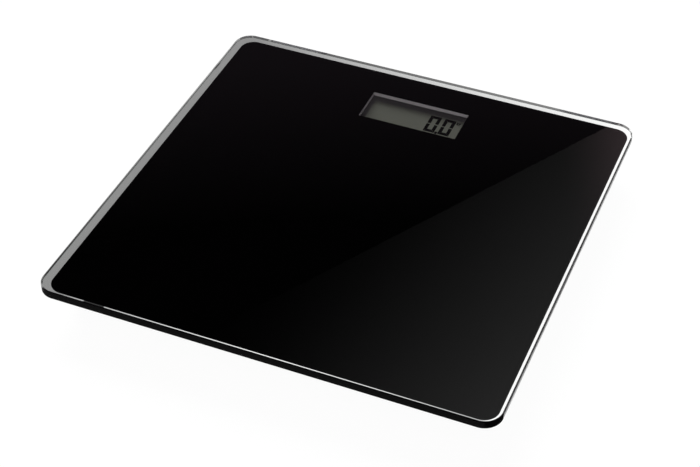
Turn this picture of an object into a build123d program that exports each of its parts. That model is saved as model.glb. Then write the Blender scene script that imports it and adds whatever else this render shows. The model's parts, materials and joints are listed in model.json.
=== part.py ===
from build123d import *
import os
from math import atan2, degrees, hypot

# Square glass bathroom scale, in millimetres.
# X runs to the right, Y towards the display, Z up from the floor under the middle of the plate.

# Glass platform
platform_width = 300.0
platform_depth = 300.0
platform_corner_radius = 12.0
glass_thickness = 6.0
glass_arris = 0.55
scale_height = 22.0

# Black film under the glass, with a window for the display
film_thickness = 0.2
film_margin_x = 4.1
film_margin_y = 4.0
film_corner_radius = 10.0
film_shift_x = 1.2
film_shift_y = 0.25
window_width = 71.0
window_depth = 29.4
window_setback = 28.1
window_shift_x = 2.2
window_corner_radius = 0.5

# Clearances
fit_gap = 0.25
running_gap = 0.3
thread_gap = 0.05
tape_thickness = 0.8
tape_inset = 1.0

# Display stack below the window
display_recess = 3.5
gasket_wall = 2.5
gasket_set_back = 0.2
lcd_border = 3.5
lcd_thickness = 2.0
lcd_frame_wall = 1.4
zebra_width = 2.0
zebra_height = 1.6
board_thickness = 1.2

# Display housing and its cover
housing_wall = 1.8
housing_roof = 1.8
housing_corner_radius = 7.0
cover_thickness = 1.6
cover_edge_round = 0.8
cover_lip_wall = 1.2
cover_pad_height = 1.2
cover_pad_radius = 4.0
cover_boss_radius = 3.2
boss_in_wall = 0.8
board_boss_radius = 2.3
board_edge = 1.0
board_screw_inset = 4.0

# Screws
screw_head_radius = 2.0
screw_head_height = 1.2
screw_shaft_radius = 1.0
screw_shaft_length = 5.5
screw_hole_spare = 0.4
head_gap = 0.3
cross_length = 2.4
cross_width = 0.7
cross_depth = 0.7

# Coin cell, its bay and the twist-lock door
cell_diameter = 20.0
cell_height = 3.2
cell_crimp = 0.6
door_seat = 1.0
door_lug_height = 0.8
door_lug_reach = 1.2
door_lug_count = 3
door_lug_angle = 22.0
door_turn = 45.0
door_notch_spare = 4.0
bay_wall = 1.3
bay_gap = 0.85
coin_slot_length = 14.0
coin_slot_width = 2.0
coin_slot_depth = 1.0
coin_slot_corner_radius = 0.9
contact_thickness = 0.3
contact_width = 5.0
contact_landing = 6.0
contact_past_middle = 3.0

# Unit button and its switch
button_inset = 15.5
button_radius = 4.0
button_flange_reach = 1.2
button_flange_height = 0.6
button_stem_radius = 1.5
button_recess = 0.2
button_edge_round = 0.4
switch_size = 4.5
switch_height = 0.8
plunger_radius = 0.9
plunger_out = 0.5
plunger_in = 0.3

# Parts soldered under the board
blob_radius = 5.5
blob_height = 1.4
blob_round = 1.2
blob_inset = 26.5
chip_length = 3.2
chip_width = 1.6
chip_height = 0.9
chip_pitch = 6.0
chip_count = 5
chip_row_inset = 26.5
crystal_length = 8.0
crystal_width = 3.0
crystal_corner_radius = 1.2
crystal_height = 2.2

# Weighing feet
foot_inset = 38.0
load_cell_size = 34.0
load_cell_thickness = 2.0
load_cell_corner = 6.0
load_cell_rim = 5.0
tongue_neck_width = 8.0
tongue_head_width = 14.0
tongue_head_length = 12.0
ledge_bearing = 3.5
bracket_side_gap = 3.5
bracket_wall = 2.0
bracket_roof = 1.6
bracket_corner_radius = 6.0
bracket_edge_round = 0.8
tongue_room = 2.4
bracket_boss_radius = 2.6
bracket_boss_inset = 2.8
gauge_size = 7.0
gauge_height = 1.6
retainer_thickness = 2.2
retainer_rail_gap = 0.5
rail_bearing = 1.5
foot_boss_radius = 4.0
foot_boss_height = 1.0
foot_ear_reach = 2.5
foot_ear_width = 10.0
foot_ear_height = 1.6
foot_play = 1.2
foot_edge_round = 0.8
pad_rim = 2.0
pad_thickness = 1.6
pad_recess = 0.6
pad_groove_depth = 0.5
pad_groove_width = 1.2
pad_groove_radii = (4.5, 8.5)

# Sensor leads and the raceways that cover them
lead_radius = 0.8
lead_bore_gap = 0.2
lead_rise = 1.1
front_lead_side_inset = 10.5
front_lead_inset = 9.0
rear_lead_offset = 4.8
raceway_width = 8.0
raceway_wall = 1.0
raceway_edge_round = 0.9
raceway_end_gap = 4.0

# Heights, from the top of the glass down
half_width = platform_width / 2
half_depth = platform_depth / 2
glass_under = scale_height - glass_thickness
film_under = glass_under - film_thickness
bond_plane = film_under - tape_thickness
roof_under = bond_plane - housing_roof
lcd_top = film_under - display_recess
lcd_under = lcd_top - lcd_thickness
board_top = lcd_under - zebra_height
board_under = board_top - board_thickness
cell_under = board_top - cell_height
cover_top = cell_under - door_lug_height
cover_under = cover_top - cover_thickness
pad_top = cover_top + cover_pad_height

# Plan of the display housing
window_y = half_depth - window_setback - window_depth / 2
gasket_width = window_width + 2 * (gasket_set_back + gasket_wall)
gasket_depth = window_depth + 2 * (gasket_set_back + gasket_wall)
lcd_width = window_width + 2 * lcd_border
lcd_depth = window_depth + 2 * lcd_border
frame_width = lcd_width + 2 * (fit_gap + lcd_frame_wall)
frame_depth = lcd_depth + 2 * (fit_gap + lcd_frame_wall)
frame_front = window_y - frame_depth / 2
frame_back = window_y + frame_depth / 2
board_boss_x = frame_width / 2 + fit_gap + board_boss_radius
board_boss_reach = lcd_depth / 2 - board_screw_inset
board_half = board_boss_x + board_boss_radius + board_edge
cell_radius = cell_diameter / 2
bay_radius = cell_radius + running_gap
door_radius = bay_radius + door_seat
door_hole_radius = door_radius + running_gap
lug_radius = door_hole_radius + door_lug_reach
skirt_radius = lug_radius + running_gap
bay_outer_radius = skirt_radius + bay_wall
bay_y = frame_front - bay_gap - bay_outer_radius
bay_floor = cell_under + running_gap
bay_top = board_top - fit_gap
cover_boss_x = board_half + fit_gap + cover_boss_radius
inner_half = cover_boss_x + cover_boss_radius - boss_in_wall
inner_front = bay_y - bay_outer_radius - fit_gap
inner_back = frame_back + fit_gap
inner_corner_radius = housing_corner_radius - housing_wall
module_half = inner_half + housing_wall
module_front = inner_front - housing_wall
module_back = inner_back + housing_wall
module_y = (module_front + module_back) / 2
module_depth = module_back - module_front
board_front = inner_front + fit_gap
button_x = board_half - button_inset
blob_x = blob_inset - board_half
chip_row_x = board_half - chip_row_inset
front_lead_x = board_half - front_lead_side_inset
board_notch_radius = bay_outer_radius + fit_gap

# Plan and heights of the weighing feet
foot_x = half_width - foot_inset
foot_y = half_depth - foot_inset
bracket_inner_half = load_cell_size / 2 + bracket_side_gap
bracket_half = bracket_inner_half + bracket_wall
bracket_boss = bracket_inner_half - bracket_boss_inset
bracket_ceiling = bond_plane - bracket_roof
load_cell_top = bracket_ceiling - tongue_room
load_cell_under = load_cell_top - load_cell_thickness
load_cell_opening = load_cell_size - 2 * load_cell_rim
foot_radius = load_cell_size / 2 - rail_bearing - retainer_rail_gap
pad_radius = foot_radius - pad_rim
foot_top = load_cell_under - foot_boss_height
ear_under = foot_top - foot_ear_height
retainer_top = ear_under - foot_play
retainer_under = retainer_top - retainer_thickness
foot_under = pad_thickness - pad_recess
gauge_reach = load_cell_opening / 2 - gauge_size / 2
lead_z = load_cell_top + lead_rise
raceway_under = lead_z - lead_radius - raceway_wall

corners = {
    "front_left": (-1, -1),
    "front_right": (1, -1),
    "rear_left": (-1, 1),
    "rear_right": (1, 1),
}


def plate(width, depth, radius, low, high, x=0.0, y=0.0):
    """A flat plate with rounded corners between two heights."""
    return Pos(x, y, low) * extrude(RectangleRounded(width, depth, radius), high - low)


def block(width, depth, low, high, x=0.0, y=0.0):
    """A box between two heights, centred on a point in plan."""
    upright = (Align.CENTER, Align.CENTER, Align.MIN)
    return Pos(x, y, low) * Box(width, depth, high - low, align=upright)


def disc(radius, low, high, x=0.0, y=0.0):
    """An upright cylinder between two heights."""
    upright = (Align.CENTER, Align.CENTER, Align.MIN)
    return Pos(x, y, low) * Cylinder(radius, high - low, align=upright)


def sector(inner, outer, angle, low, high):
    """Part of an upright ring, centred on the X axis."""
    ring = disc(outer, low, high) - disc(inner, low, high)
    upright = (Align.NONE, Align.NONE, Align.MIN)
    wedge = Pos(0, 0, low) * Cylinder(2 * outer, high - low, arc_size=angle, align=upright)
    return ring & Rot(0, 0, -angle / 2) * wedge


def rounded_below(shape, radius):
    """The shape with the edges of its lowest face rounded."""
    return fillet(shape.faces().sort_by(Axis.Z)[0].outer_wire().edges(), radius)


def screw(x, y, head_under):
    """A pan-head screw that points up, with a cross recess in its head."""
    head_top = head_under + screw_head_height
    head = rounded_below(disc(screw_head_radius, head_under, head_top), screw_head_height / 2)
    shaft = disc(screw_shaft_radius, head_top, head_top + screw_shaft_length)
    cross = block(cross_length, cross_width, head_under, head_under + cross_depth)
    cross += block(cross_width, cross_length, head_under, head_under + cross_depth)
    return Pos(x, y, 0) * (head + shaft - cross)


def screw_pilot(x, y, head_under):
    """The hole that a screw's shaft bites into."""
    low = head_under + screw_head_height
    return disc(screw_shaft_radius + thread_gap, low, low + screw_shaft_length + screw_hole_spare, x, y)


def screw_passage(x, y, low, head_under, high):
    """The hole for a screw through a plate, with a counterbore for its head."""
    bore = disc(screw_head_radius + head_gap, low, head_under + screw_head_height, x, y)
    return bore + disc(screw_shaft_radius + head_gap, low, high, x, y)


def cover_screw_places():
    """Plan positions of the four screws that hold the cover."""
    reach = cover_boss_radius - boss_in_wall
    ys = (inner_front + reach, inner_back - reach)
    return [(side * cover_boss_x, y) for side in (-1, 1) for y in ys]


def board_screw_places():
    """Plan positions of the four screws that hold the board."""
    ys = (window_y - board_boss_reach, window_y + board_boss_reach)
    return [(side * board_boss_x, y) for side in (-1, 1) for y in ys]


def foot_centre(corner):
    """Plan position of the middle of a weighing foot."""
    side, end = corners[corner]
    return side * foot_x, end * foot_y


def gauge_direction(corner):
    """The way the load cell's tongue is rooted: back in the front feet, inwards in the rear feet."""
    side, end = corners[corner]
    return (0, 1) if end < 0 else (-side, 0)


class Lead:
    """The straight run of a sensor lead from its gauge to the board."""

    def __init__(self, corner):
        side, end = corners[corner]
        centre = foot_centre(corner)
        way = gauge_direction(corner)
        rear_y = window_y + rear_lead_offset
        front_x = window_shift_x + side * front_lead_x
        rear_x = window_shift_x + side * board_boss_x
        front = (front_x, board_front + front_lead_inset)
        self.centre = centre
        self.start = tuple(c + w * gauge_reach for c, w in zip(centre, way))
        self.landing = front if end < 0 else (rear_x, rear_y)
        run = (self.landing[0] - self.start[0], self.landing[1] - self.start[1])
        self.length = hypot(*run)
        self.way = (run[0] / self.length, run[1] / self.length)
        self.angle = degrees(atan2(run[1], run[0]))

    def point(self, distance):
        """A point of the run, at a distance from its start."""
        return tuple(s + w * distance for s, w in zip(self.start, self.way))

    def leaves(self, centre, halves):
        """Distances at which the run enters and leaves an upright box."""
        spans = []
        for s, w, c, half in zip(self.start, self.way, centre, halves):
            if abs(w) > 1e-9:
                spans.append(sorted(((c - half - s) / w, (c + half - s) / w)))
        return max(span[0] for span in spans), min(span[1] for span in spans)

    def bore(self, radius, length):
        """A straight round bar along the run."""
        plane = Plane((*self.start, lead_z), z_dir=(*self.way, 0))
        return extrude(plane * Circle(radius), length)


def platform_glass():
    glass = plate(platform_width, platform_depth, platform_corner_radius, glass_under, scale_height)
    rims = glass.faces().sort_by(Axis.Z)
    return chamfer(rims[0].edges() + rims[-1].edges(), glass_arris)


def backing_film():
    width = platform_width - 2 * film_margin_x
    depth = platform_depth - 2 * film_margin_y
    film = plate(width, depth, film_corner_radius, film_under, glass_under, film_shift_x, film_shift_y)
    opening = (window_width, window_depth, window_corner_radius, film_under, glass_under)
    return film - plate(*opening, window_shift_x, window_y)


def display_gasket():
    outer = block(gasket_width, gasket_depth, lcd_top, film_under, 0, window_y)
    inner_width = window_width + 2 * gasket_set_back
    inner_depth = window_depth + 2 * gasket_set_back
    return outer - block(inner_width, inner_depth, lcd_top, film_under, 0, window_y)


def gasket_opening(low, high):
    """The room for the gasket through the housing and its tape."""
    return block(gasket_width + 2 * fit_gap, gasket_depth + 2 * fit_gap, low, high, 0, window_y)


def lcd_panel():
    return block(lcd_width, lcd_depth, lcd_under, lcd_top, 0, window_y)


def lcd_frame():
    outer = plate(frame_width, frame_depth, lcd_frame_wall, board_top, lcd_top, 0, window_y)
    pocket = block(lcd_width + 2 * fit_gap, lcd_depth + 2 * fit_gap, board_top, lcd_top, 0, window_y)
    return outer - pocket


def zebra_strips():
    reach = lcd_depth / 2 - zebra_width
    ys = (window_y - reach, window_y + reach)
    return Compound([block(window_width, zebra_width, board_top, lcd_under, 0, y).solid() for y in ys])


def main_board():
    depth = frame_back - board_front
    board = block(2 * board_half, depth, board_under, board_top, 0, board_front + depth / 2)
    board -= disc(board_notch_radius, board_under, board_top, 0, bay_y)
    front_reach = bay_y - board_front
    notch_y = board_front + front_reach / 2
    board -= block(2 * board_notch_radius, front_reach, board_under, board_top, 0, notch_y)
    for x, y in board_screw_places():
        board -= disc(screw_shaft_radius + head_gap, board_under, board_top, x, y)
    return board


def controller_blob():
    blob = disc(blob_radius, board_under - blob_height, board_under, blob_x, window_y)
    return rounded_below(blob, blob_round)


def board_parts():
    """A row of chip parts and a crystal under the board."""
    first = chip_row_x - (chip_count - 1) * chip_pitch / 2
    low = board_under - chip_height
    places = [first + index * chip_pitch for index in range(chip_count)]
    chips = [block(chip_width, chip_length, low, board_under, x, window_y) for x in places]
    crystal = plate(crystal_length, crystal_width, crystal_corner_radius, -crystal_height, 0)
    crystal = Pos(chip_row_x, window_y + chip_length + crystal_width, board_under) * crystal
    return Compound([part.solid() for part in chips + [crystal]])


def board_screws():
    head_under = board_under - screw_head_height
    return Compound([screw(x, y, head_under).solid() for x, y in board_screw_places()])


def housing_shell():
    """The walls and roof of the housing, open below."""
    width = 2 * module_half
    shell = plate(width, module_depth, housing_corner_radius, cover_top, bond_plane, 0, module_y)
    inner_depth = inner_back - inner_front
    inside = plate(2 * inner_half, inner_depth, inner_corner_radius, cover_top, roof_under, 0, module_y)
    return shell - inside


def display_housing():
    housing = housing_shell()
    for x, y in cover_screw_places():
        housing += disc(cover_boss_radius, pad_top, roof_under, x, y)
        housing -= screw_pilot(x, y, pad_top - screw_head_height)
    for x, y in board_screw_places():
        housing += disc(board_boss_radius, board_top, roof_under, x, y)
        housing -= screw_pilot(x, y, board_under - screw_head_height)
    housing -= gasket_opening(roof_under, bond_plane)
    for corner in corners:
        lead = Lead(corner)
        housing -= Pos(-window_shift_x, 0, 0) * lead.bore(lead_radius + lead_bore_gap, lead.length)
    return housing


def housing_tape():
    width = 2 * (module_half - tape_inset)
    depth = module_depth - 2 * tape_inset
    tape = plate(width, depth, housing_corner_radius - tape_inset, bond_plane, film_under, 0, module_y)
    return tape - gasket_opening(bond_plane, film_under)


def cover_plate():
    """The cover's flat plate with the lip that locates it in the housing."""
    width = 2 * module_half
    cover = plate(width, module_depth, housing_corner_radius, cover_under, cover_top, 0, module_y)
    cover = rounded_below(cover, cover_edge_round)
    lip_half = inner_half - fit_gap
    lip_depth = inner_back - inner_front - 2 * fit_gap
    lip_radius = inner_corner_radius - fit_gap
    lip_top = pad_top - fit_gap
    lip = plate(2 * lip_half, lip_depth, lip_radius, cover_top, lip_top, 0, module_y)
    room = lip_radius - cover_lip_wall
    cut_half = lip_half - cover_lip_wall
    lip -= plate(2 * cut_half, lip_depth - 2 * cover_lip_wall, room, cover_top, lip_top, 0, module_y)
    return cover + lip


def cover_room():
    """The room inside the housing that the cover's pads may fill."""
    depth = inner_back - inner_front - 2 * fit_gap
    half = inner_half - fit_gap
    return plate(2 * half, depth, inner_corner_radius - fit_gap, cover_top, pad_top, 0, module_y)


def battery_bay():
    """The round wall of the battery bay, with room below it for the lugs of the door."""
    skirt = disc(bay_outer_radius, cover_top, bay_top) - disc(skirt_radius, cover_top, bay_floor)
    bay = skirt - disc(bay_radius, cover_top, bay_top)
    slot_depth = 2 * (contact_thickness + fit_gap)
    slot = block(slot_depth, contact_width + 2 * fit_gap, bay_floor, bay_top, bay_radius, 0)
    return Pos(0, bay_y, 0) * (bay - slot)


def door_lugs(radius, angle, low, high):
    """The ring of bayonet lugs, or of the notches that let them in."""
    lug = sector(door_radius - running_gap, radius, angle, low, high)
    turns = [index * 360 / door_lug_count for index in range(door_lug_count)]
    return [Rot(0, 0, turn) * lug for turn in turns]


def housing_cover():
    cover = cover_plate() + battery_bay()
    for x, y in cover_screw_places():
        cover += disc(cover_pad_radius, cover_top, pad_top, x, y) & cover_room()
    for x, y in cover_screw_places():
        cover -= screw_passage(x, y, cover_under, cover_under + head_gap, pad_top)
    cover -= disc(door_hole_radius, cover_under, cover_top, 0, bay_y)
    notch_angle = door_lug_angle + door_notch_spare
    for notch in door_lugs(lug_radius + running_gap, notch_angle, cover_under, cover_top):
        cover -= Pos(0, bay_y, 0) * Rot(0, 0, -door_turn) * notch
    return cover - disc(button_radius + running_gap, cover_under, cover_top, button_x, bay_y)


def cover_screws():
    head_under = cover_under + head_gap
    return Compound([screw(x, y, head_under).solid() for x, y in cover_screw_places()])


def coin_cell():
    cell = disc(cell_radius, cell_under, board_top, 0, bay_y)
    return chamfer(cell.faces().sort_by(Axis.Z)[-1].edges(), cell_crimp)


def battery_contact_negative():
    end = -board_notch_radius - contact_landing
    length = contact_past_middle - end
    top = board_top + contact_thickness
    return block(length, contact_width, board_top, top, end + length / 2, bay_y)


def battery_contact_positive():
    start = cell_radius + thread_gap
    end = board_notch_radius + contact_landing
    top = board_top + contact_thickness
    contact = block(end - start, contact_width, board_top, top, (start + end) / 2, bay_y)
    leg_low = bay_floor + fit_gap
    leg_x = start + contact_thickness / 2
    return contact + block(contact_thickness, contact_width, leg_low, top, leg_x, bay_y)


def battery_door():
    door = disc(door_radius, cover_under, cell_under)
    for lug in door_lugs(lug_radius, door_lug_angle, cover_top, cell_under):
        door += lug
    slot_low = cover_under + coin_slot_depth
    door -= plate(coin_slot_length, coin_slot_width, coin_slot_corner_radius, cover_under, slot_low)
    return Pos(0, bay_y, 0) * door


def unit_switch():
    low = board_under - switch_height
    body = block(switch_size, switch_size, low, board_under, button_x, bay_y)
    return body - disc(plunger_radius + running_gap, low, board_under, button_x, bay_y)


def switch_plunger():
    seat = board_under - switch_height
    return disc(plunger_radius, seat - plunger_out, seat + plunger_in, button_x, bay_y)


def unit_button():
    stem_top = board_under - switch_height - plunger_out
    flange_top = cover_top + button_flange_height
    cap = rounded_below(disc(button_radius, cover_under + button_recess, cover_top), button_edge_round)
    flange = disc(button_radius + button_flange_reach, cover_top, flange_top)
    button = cap + flange + disc(button_stem_radius, flange_top, stem_top)
    return Pos(button_x, bay_y, 0) * button


def bracket_corner_places():
    """Plan positions of the four retainer screws in a bracket."""
    return [(x * bracket_boss, y * bracket_boss) for x, y in corners.values()]


def sensor_bracket(corner):
    inner_radius = bracket_corner_radius - bracket_wall
    inner = 2 * bracket_inner_half
    cavity = load_cell_size - 2 * ledge_bearing
    cup = plate(2 * bracket_half, 2 * bracket_half, bracket_corner_radius, retainer_under, bond_plane)
    cup = rounded_below(cup, bracket_edge_round)
    cup -= plate(inner, inner, inner_radius, retainer_under, load_cell_top)
    cup -= plate(cavity, cavity, inner_radius, load_cell_top, bracket_ceiling)
    for x, y in bracket_corner_places():
        cup += disc(bracket_boss_radius, retainer_top, load_cell_top, x, y)
        cup -= screw_pilot(x, y, retainer_under)
    lead = Lead(corner)
    return Pos(*foot_centre(corner), 0) * cup - lead.bore(lead_radius + lead_bore_gap, 2 * bracket_half)


def bracket_tapes():
    size = 2 * (bracket_half - tape_inset)
    radius = bracket_corner_radius - tape_inset
    places = [foot_centre(corner) for corner in corners]
    return Compound([plate(size, size, radius, bond_plane, film_under, x, y).solid() for x, y in places])


def load_cell(corner):
    cell = plate(load_cell_size, load_cell_size, load_cell_corner, load_cell_under, load_cell_top)
    neck_length = load_cell_opening / 2
    opening = block(load_cell_opening, load_cell_opening, load_cell_under, load_cell_top)
    opening -= block(neck_length, tongue_neck_width, load_cell_under, load_cell_top, neck_length / 2)
    opening -= block(tongue_head_length, tongue_head_width, load_cell_under, load_cell_top)
    way = gauge_direction(corner)
    turn = degrees(atan2(way[1], way[0]))
    return Pos(*foot_centre(corner), 0) * Rot(0, 0, turn) * (cell - opening)


def strain_gauges():
    """The potted gauges on the four tongues, each around the end of its lead."""
    gauges = []
    for corner in corners:
        lead = Lead(corner)
        potting = block(gauge_size, gauge_size, load_cell_top, load_cell_top + gauge_height, *lead.start)
        gauges.append((potting - lead.bore(lead_radius, gauge_size)).solid())
    return Compound(gauges)


def foot_retainer(corner):
    size = 2 * (bracket_inner_half - fit_gap)
    radius = bracket_corner_radius - bracket_wall - fit_gap
    retainer = plate(size, size, radius, retainer_under, retainer_top)
    rail_inner = foot_radius + retainer_rail_gap
    rail_outer = size / 2
    rail_length = 2 * (bracket_boss - bracket_boss_radius - fit_gap)
    for side in (-1, 1):
        rail_x = side * (rail_inner + rail_outer) / 2
        retainer += block(rail_outer - rail_inner, rail_length, retainer_top, load_cell_under, rail_x)
    retainer -= disc(foot_radius + running_gap, retainer_under, retainer_top)
    for x, y in bracket_corner_places():
        retainer -= screw_passage(x, y, retainer_under, retainer_under, retainer_top)
    return Pos(*foot_centre(corner), 0) * retainer


def retainer_screws():
    screws = []
    for corner in corners:
        centre_x, centre_y = foot_centre(corner)
        for x, y in bracket_corner_places():
            screws.append(screw(centre_x + x, centre_y + y, retainer_under).solid())
    return Compound(screws)


def foot(corner):
    body = rounded_below(disc(foot_radius, foot_under, foot_top), foot_edge_round)
    ear_length = 2 * (foot_radius + foot_ear_reach)
    ears = block(foot_ear_width, ear_length, ear_under, foot_top)
    boss = disc(foot_boss_radius, foot_top, load_cell_under)
    recess = disc(pad_radius + fit_gap, foot_under, pad_thickness)
    return Pos(*foot_centre(corner), 0) * (body + ears + boss - recess)


def foot_pad(corner):
    pad = disc(pad_radius, 0, pad_thickness)
    for radius in pad_groove_radii:
        outer = disc(radius + pad_groove_width, 0, pad_groove_depth)
        pad -= outer - disc(radius, 0, pad_groove_depth)
    return Pos(*foot_centre(corner), 0) * pad


def sensor_lead(corner):
    lead = Lead(corner)
    bend = lead_z - board_top
    bend_start = lead.point(lead.length - bend)
    way = (*lead.way, 0)
    run = Line((*lead.start, lead_z), (*bend_start, lead_z))
    turn = TangentArc((*bend_start, lead_z), (*lead.landing, board_top), tangent=way)
    section = Plane((*lead.start, lead_z), z_dir=way) * Circle(lead_radius)
    return sweep(section, path=Wire([run.edge(), turn.edge()]))


def lead_raceway(corner):
    lead = Lead(corner)
    leaves_foot = lead.leaves(lead.centre, (bracket_half, bracket_half))[1]
    meets_housing = lead.leaves((window_shift_x, module_y), (module_half, module_depth / 2))[0]
    first = leaves_foot + raceway_end_gap
    last = meets_housing - raceway_end_gap
    channel = block(last - first, raceway_width, raceway_under, film_under)
    channel = fillet(channel.faces().sort_by(Axis.Z)[0].edges(), raceway_edge_round)
    inner = raceway_width - 2 * raceway_wall
    channel -= block(last - first, inner, raceway_under + raceway_wall, film_under)
    return Pos(*lead.point((first + last) / 2), 0) * Rot(0, 0, lead.angle) * channel


def save(name, shape):
    """Writes one piece to its own file."""
    export_step(shape, f"parts/{name}.step")


plate_pieces = (platform_glass, backing_film, bracket_tapes, strain_gauges, retainer_screws)
# These are drawn about the middle of the display and moved with its window
display_pieces = (
    display_gasket,
    lcd_panel,
    lcd_frame,
    zebra_strips,
    main_board,
    controller_blob,
    board_parts,
    board_screws,
    display_housing,
    housing_tape,
    housing_cover,
    cover_screws,
    coin_cell,
    battery_contact_negative,
    battery_contact_positive,
    battery_door,
    unit_switch,
    switch_plunger,
    unit_button,
)
corner_pieces = (sensor_bracket, load_cell, foot_retainer, foot, foot_pad, sensor_lead, lead_raceway)

os.makedirs("parts", exist_ok=True)
for piece in plate_pieces:
    save(piece.__name__, piece())
for piece in display_pieces:
    save(piece.__name__, Pos(window_shift_x, 0, 0) * piece())
for piece in corner_pieces:
    for corner_name in corners:
        save(f"{piece.__name__}_{corner_name}", piece(corner_name))
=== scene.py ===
"""Looks of a square glass bathroom scale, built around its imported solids.

Every length is in metres, in the frame of the solids: X to the right, Y towards the display, Z up.
"""

from __future__ import annotations

import json
import logging
import math
from dataclasses import dataclass
from enum import Enum
from functools import reduce
from typing import Iterable, Sequence

import bmesh
import bpy
from mathutils import Matrix, Vector

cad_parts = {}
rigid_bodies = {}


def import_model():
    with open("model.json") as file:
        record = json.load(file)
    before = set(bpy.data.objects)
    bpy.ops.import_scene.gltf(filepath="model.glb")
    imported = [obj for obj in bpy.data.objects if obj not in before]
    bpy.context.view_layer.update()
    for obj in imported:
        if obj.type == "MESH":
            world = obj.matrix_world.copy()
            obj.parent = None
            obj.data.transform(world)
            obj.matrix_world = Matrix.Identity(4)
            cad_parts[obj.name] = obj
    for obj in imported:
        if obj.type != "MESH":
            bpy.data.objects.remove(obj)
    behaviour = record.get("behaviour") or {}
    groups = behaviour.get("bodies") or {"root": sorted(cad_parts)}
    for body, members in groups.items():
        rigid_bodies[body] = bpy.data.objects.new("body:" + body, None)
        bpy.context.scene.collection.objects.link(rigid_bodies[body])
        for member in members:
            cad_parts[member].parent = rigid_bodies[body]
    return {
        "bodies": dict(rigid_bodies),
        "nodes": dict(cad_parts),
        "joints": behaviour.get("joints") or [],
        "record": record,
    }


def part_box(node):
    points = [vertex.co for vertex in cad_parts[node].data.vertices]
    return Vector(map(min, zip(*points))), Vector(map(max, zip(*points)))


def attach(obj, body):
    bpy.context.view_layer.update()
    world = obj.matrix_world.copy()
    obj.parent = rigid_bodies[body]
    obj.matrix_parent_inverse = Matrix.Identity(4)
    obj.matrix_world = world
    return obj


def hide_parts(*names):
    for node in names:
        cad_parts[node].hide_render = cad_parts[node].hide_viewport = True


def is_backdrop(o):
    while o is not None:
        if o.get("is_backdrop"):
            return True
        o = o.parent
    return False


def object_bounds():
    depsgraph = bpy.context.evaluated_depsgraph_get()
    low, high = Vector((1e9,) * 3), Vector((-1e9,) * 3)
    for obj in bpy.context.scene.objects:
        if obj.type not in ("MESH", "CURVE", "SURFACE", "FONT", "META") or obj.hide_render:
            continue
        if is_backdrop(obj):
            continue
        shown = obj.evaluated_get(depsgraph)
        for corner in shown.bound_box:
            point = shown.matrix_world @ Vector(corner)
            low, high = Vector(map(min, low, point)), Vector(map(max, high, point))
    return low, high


LOG = logging.getLogger("bathroom_scale")
MM = 0.001
PLATFORM = "platform"
# Edges that bend more than this, in degrees, stay sharp
CREASE = 25.0

Colour = tuple[float, float, float]
Point = tuple[float, float]
# A value is 0 at a ramp's first place and 1 at its second
Ramp = tuple[float, float]
# A value rises from 0 to 1 over a band's first two places and falls over its last two
Band = tuple[float, float, float, float]
Ring = list[Vector]
Socket = bpy.types.NodeSocket
Material = bpy.types.Material
Mesh = bmesh.types.BMesh
Verts = list[bmesh.types.BMVert]
Faces = list[bmesh.types.BMFace]

WHITE: Colour = (1.0, 1.0, 1.0)


class Corner(Enum):
    """The four corners that carry a weighing foot."""

    FRONT_LEFT = "front_left"
    FRONT_RIGHT = "front_right"
    REAR_LEFT = "rear_left"
    REAR_RIGHT = "rear_right"


class Segment(Enum):
    """The bars of a display digit that a nought lights."""

    TOP = "top"
    UPPER_RIGHT = "upper_right"
    LOWER_RIGHT = "lower_right"
    BOTTOM = "bottom"
    LOWER_LEFT = "lower_left"
    UPPER_LEFT = "upper_left"


# Meshes


def plan(node: str) -> tuple[Point, Point]:
    """Size and middle of a solid, as seen from above."""
    low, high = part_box(node)
    return (high.x - low.x, high.y - low.y), ((low.x + high.x) / 2, (low.y + high.y) / 2)


def rounded_outline(
    size: Point, radius: float, height: float, centre: Point = (0.0, 0.0), steps: int = 24
) -> Ring:
    """Points round a rectangle with round corners.

    Args:
        size: Width and depth of the rectangle.
        radius: Radius of its corners.
        height: Z of every point.
        centre: Middle of the rectangle in plan.
        steps: Divisions of each corner.

    Returns:
        The points, counter-clockwise from above.
    """
    ring = []
    for side, end, start in ((1, 1, 0), (-1, 1, 90), (-1, -1, 180), (1, -1, 270)):
        middle_x = centre[0] + side * (size[0] / 2 - radius)
        middle_y = centre[1] + end * (size[1] / 2 - radius)
        for step in range(steps + 1):
            angle = math.radians(start + 90 * step / steps)
            place = (middle_x + radius * math.cos(angle), middle_y + radius * math.sin(angle), height)
            ring.append(Vector(place))
    return ring


def circle(radius: float, height: float, centre: Point, steps: int = 96) -> Ring:
    """Points round a circle, counter-clockwise from above."""
    angles = [math.tau * step / steps for step in range(steps)]
    return [
        Vector((centre[0] + radius * math.cos(a), centre[1] + radius * math.sin(a), height)) for a in angles
    ]


def piece_from(
    name: str, mesh: Mesh, finishes: Sequence[Material], crease: float = CREASE
) -> bpy.types.Object:
    """Turns a bmesh into an object in the scene.

    Args:
        name: Name of the new piece.
        mesh: Its faces. It is freed here.
        finishes: Materials for the object's slots.
        crease: Edges that bend less than this angle, in degrees, are shaded smooth.

    Returns:
        The new object.
    """
    bmesh.ops.recalc_face_normals(mesh, faces=mesh.faces)
    data = bpy.data.meshes.new(name)
    mesh.to_mesh(data)
    mesh.free()
    for finish in finishes:
        data.materials.append(finish)
    data.shade_smooth()
    data.set_sharp_from_angle(angle=math.radians(crease))
    return linked(name, data)


def linked(name: str, data: bpy.types.ID) -> bpy.types.Object:
    """Puts a mesh, lamp, camera or curve into the scene.

    Args:
        name: Name of the new object.
        data: What it shows.

    Returns:
        The new object.
    """
    made = bpy.data.objects.new(name, data)
    bpy.context.scene.collection.objects.link(made)
    return made


def add_walls(mesh: Mesh, lower: Verts, upper: Verts) -> Faces:
    """Adds the faces between two rings with as many corners, and returns them."""
    corners = zip(lower, lower[1:] + lower[:1], upper[1:] + upper[:1], upper)
    return [mesh.faces.new(four) for four in corners]


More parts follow.
